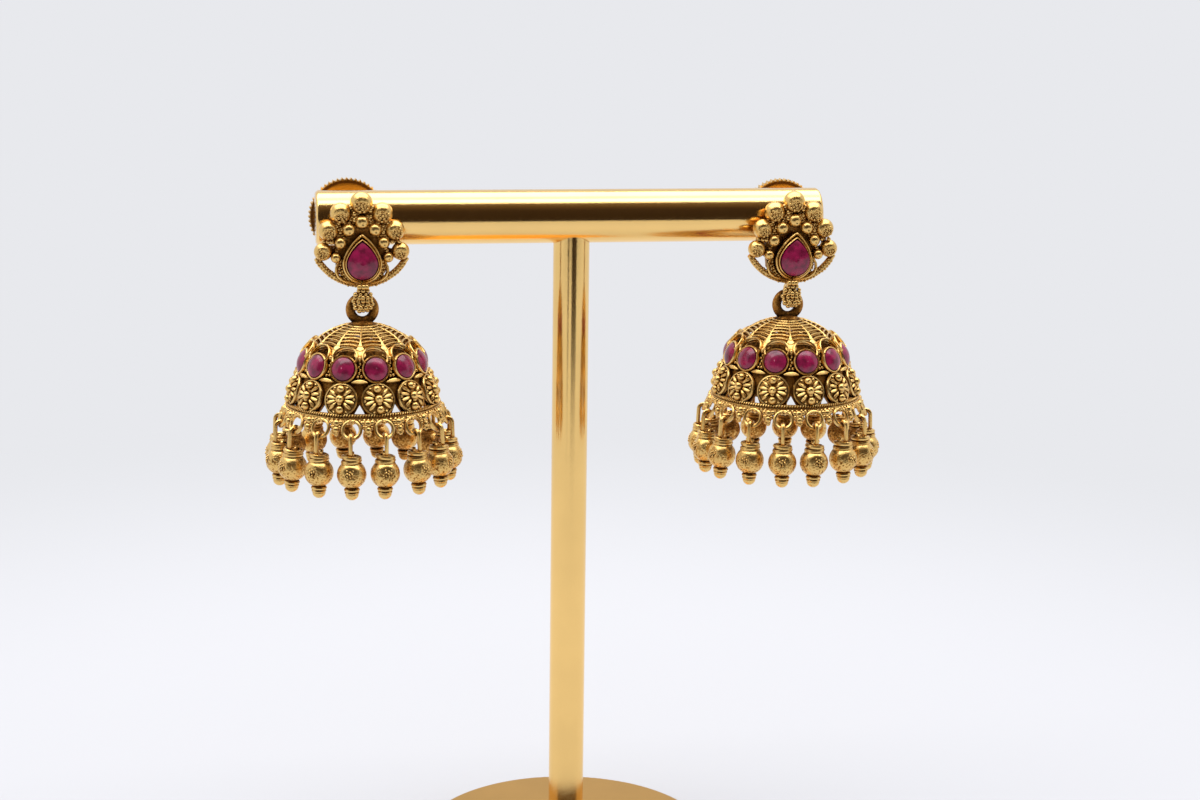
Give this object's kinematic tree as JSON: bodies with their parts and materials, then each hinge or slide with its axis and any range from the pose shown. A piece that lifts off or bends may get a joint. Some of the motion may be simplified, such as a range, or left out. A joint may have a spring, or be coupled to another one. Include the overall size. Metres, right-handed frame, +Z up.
{
  "type": "pair of jhumka earrings on a t-bar display stand",
  "caption": "Gold-tone jhumka drop earrings with pierced dome bells, red cabochon stones and a fringe of ball drops, hung on a plain T-bar display stand with a round base.",
  "frame": {"origin": "centre of the underside of the round base", "axes": "+Z up, the cross bar along X, the earrings face -Y"},
  "size_m": [0.0759, 0.038, 0.0887],
  "materials": {
    "stand_tube": "polished gold plate",
    "stand_base": "satin gold plate",
    "antique_gold": "antique gold plate with dark oxidised recesses",
    "ruby": "polished cabochon"
  },
  "bodies": {
    "stand": {"base_disc": "stand_base", "upright": "stand_tube", "cross_bar": "stand_tube", "left_stud": "antique_gold", "left_pear_stone": "ruby", "left_screw_nut": "antique_gold", "right_stud": "antique_gold", "right_pear_stone": "ruby", "right_screw_nut": "antique_gold"},
    "left_jhumka": {"left_bell": "antique_gold", "left_round_stones": "ruby", "left_drop_01": "antique_gold", "left_drop_02": "antique_gold", "left_drop_03": "antique_gold", "left_drop_04": "antique_gold", "left_drop_05": "antique_gold", "left_drop_06": "antique_gold", "left_drop_07": "antique_gold", "left_drop_08": "antique_gold", "left_drop_09": "antique_gold", "left_drop_10": "antique_gold", "left_drop_11": "antique_gold", "left_drop_12": "antique_gold", "left_drop_13": "antique_gold", "left_drop_14": "antique_gold", "left_drop_15": "antique_gold", "left_drop_16": "antique_gold"},
    "right_jhumka": {"right_bell": "antique_gold", "right_round_stones": "ruby", "right_drop_01": "antique_gold", "right_drop_02": "antique_gold", "right_drop_03": "antique_gold", "right_drop_04": "antique_gold", "right_drop_05": "antique_gold", "right_drop_06": "antique_gold", "right_drop_07": "antique_gold", "right_drop_08": "antique_gold", "right_drop_09": "antique_gold", "right_drop_10": "antique_gold", "right_drop_11": "antique_gold", "right_drop_12": "antique_gold", "right_drop_13": "antique_gold", "right_drop_14": "antique_gold", "right_drop_15": "antique_gold", "right_drop_16": "antique_gold"}
  },
  "joints": [
    {"name": "left_bell_swing", "type": "hinge", "parent": "stand", "child": "left_jhumka", "pos_m": [-0.02612, -0.0046, 0.07421], "axis": [0, 1, 0], "range_deg": [-40, 40]},
    {"name": "right_bell_swing", "type": "hinge", "parent": "stand", "child": "right_jhumka", "pos_m": [0.02662, -0.0046, 0.07396], "axis": [0, 1, 0], "range_deg": [-40, 40]}
  ]
}
